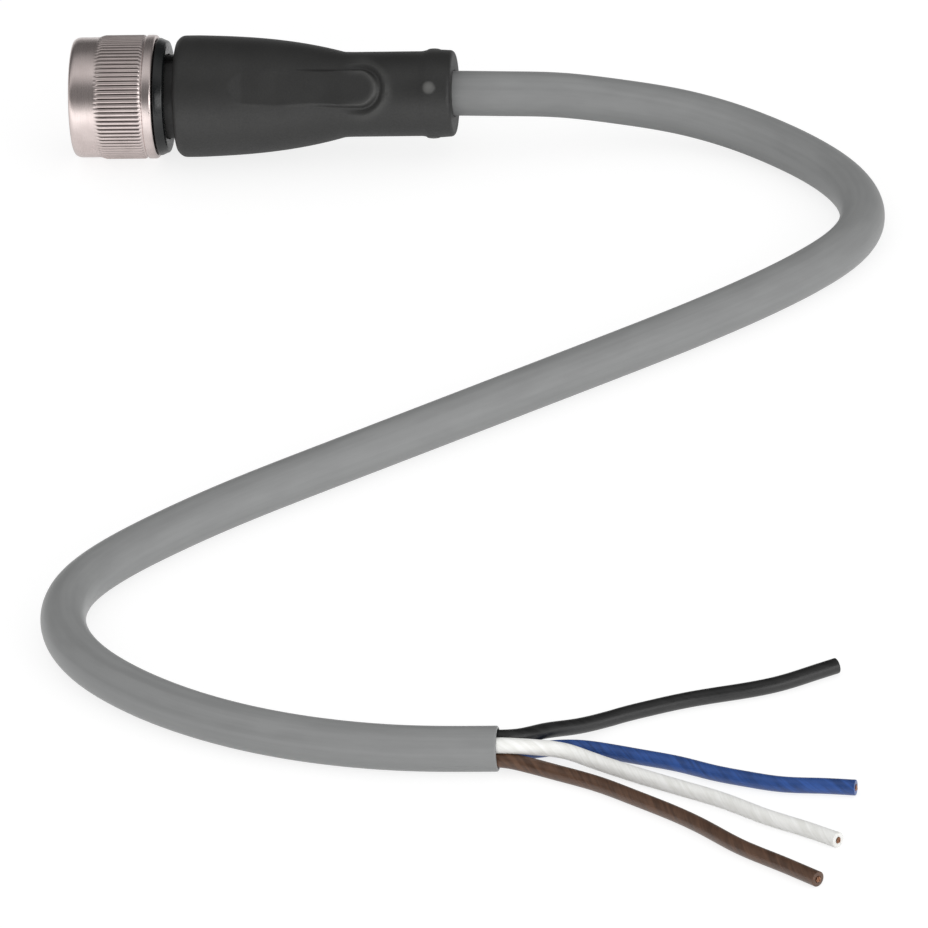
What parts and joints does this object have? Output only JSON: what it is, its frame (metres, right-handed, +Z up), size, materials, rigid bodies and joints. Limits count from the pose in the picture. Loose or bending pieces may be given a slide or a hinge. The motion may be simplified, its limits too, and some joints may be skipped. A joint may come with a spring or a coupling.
{
  "type": "m12 connector",
  "caption": "Straight female circular connector with a knurled coupling nut, moulded on a grey multi-core cable with an open end.",
  "frame": {"origin": "centre of the contact carrier's mating face, on the connector's axis", "axes": "-X points out of the mating face, +X along the grip to the cable, +Z up; the part lies on its coupling nut and its cable"},
  "size_m": [0.1097, 0.1912, 0.0148],
  "materials": {
    "nickel_plated_brass": "turned, knurled and nickel plated",
    "ring_plastic": "moulded nylon, satin",
    "carrier_plastic": "moulded nylon, satin",
    "gold_plated_bronze": "gold plated",
    "seal_rubber": "moulded rubber",
    "mould_plastic": "moulded",
    "grip_plastic": "moulded polyurethane, fine matt",
    "brown_insulation": "extruded",
    "white_insulation": "extruded",
    "blue_insulation": "extruded",
    "black_insulation": "extruded",
    "cable_sheath": "extruded PVC, satin",
    "copper_strand": "cut copper strands"
  },
  "bodies": {
    "body": {"contact_carrier": "carrier_plastic", "retaining_ring": "carrier_plastic", "contact_1": "gold_plated_bronze", "contact_2": "gold_plated_bronze", "contact_3": "gold_plated_bronze", "contact_4": "gold_plated_bronze", "seal_ring": "seal_rubber", "inner_mould": "mould_plastic", "grip": "grip_plastic", "core_brown": "brown_insulation", "core_white": "white_insulation", "core_blue": "blue_insulation", "core_black": "black_insulation", "cable": "cable_sheath", "wire_brown": "brown_insulation", "wire_white": "white_insulation", "wire_blue": "blue_insulation", "wire_black": "black_insulation", "conductor_brown": "copper_strand", "conductor_white": "copper_strand", "conductor_blue": "copper_strand", "conductor_black": "copper_strand"},
    "ring": {"detent_ring": "ring_plastic"},
    "nut": {"coupling_nut": "nickel_plated_brass"}
  },
  "joints": [
    {"name": "nut_float", "type": "slide", "parent": "body", "child": "ring", "axis": [1, 0, 0], "range_m": [0, 0.001]},
    {"name": "nut_turn", "type": "hinge", "parent": "ring", "child": "nut", "pos_m": [0.009, 0, 0], "axis": [1, 0, 0], "continuous": true}
  ]
}
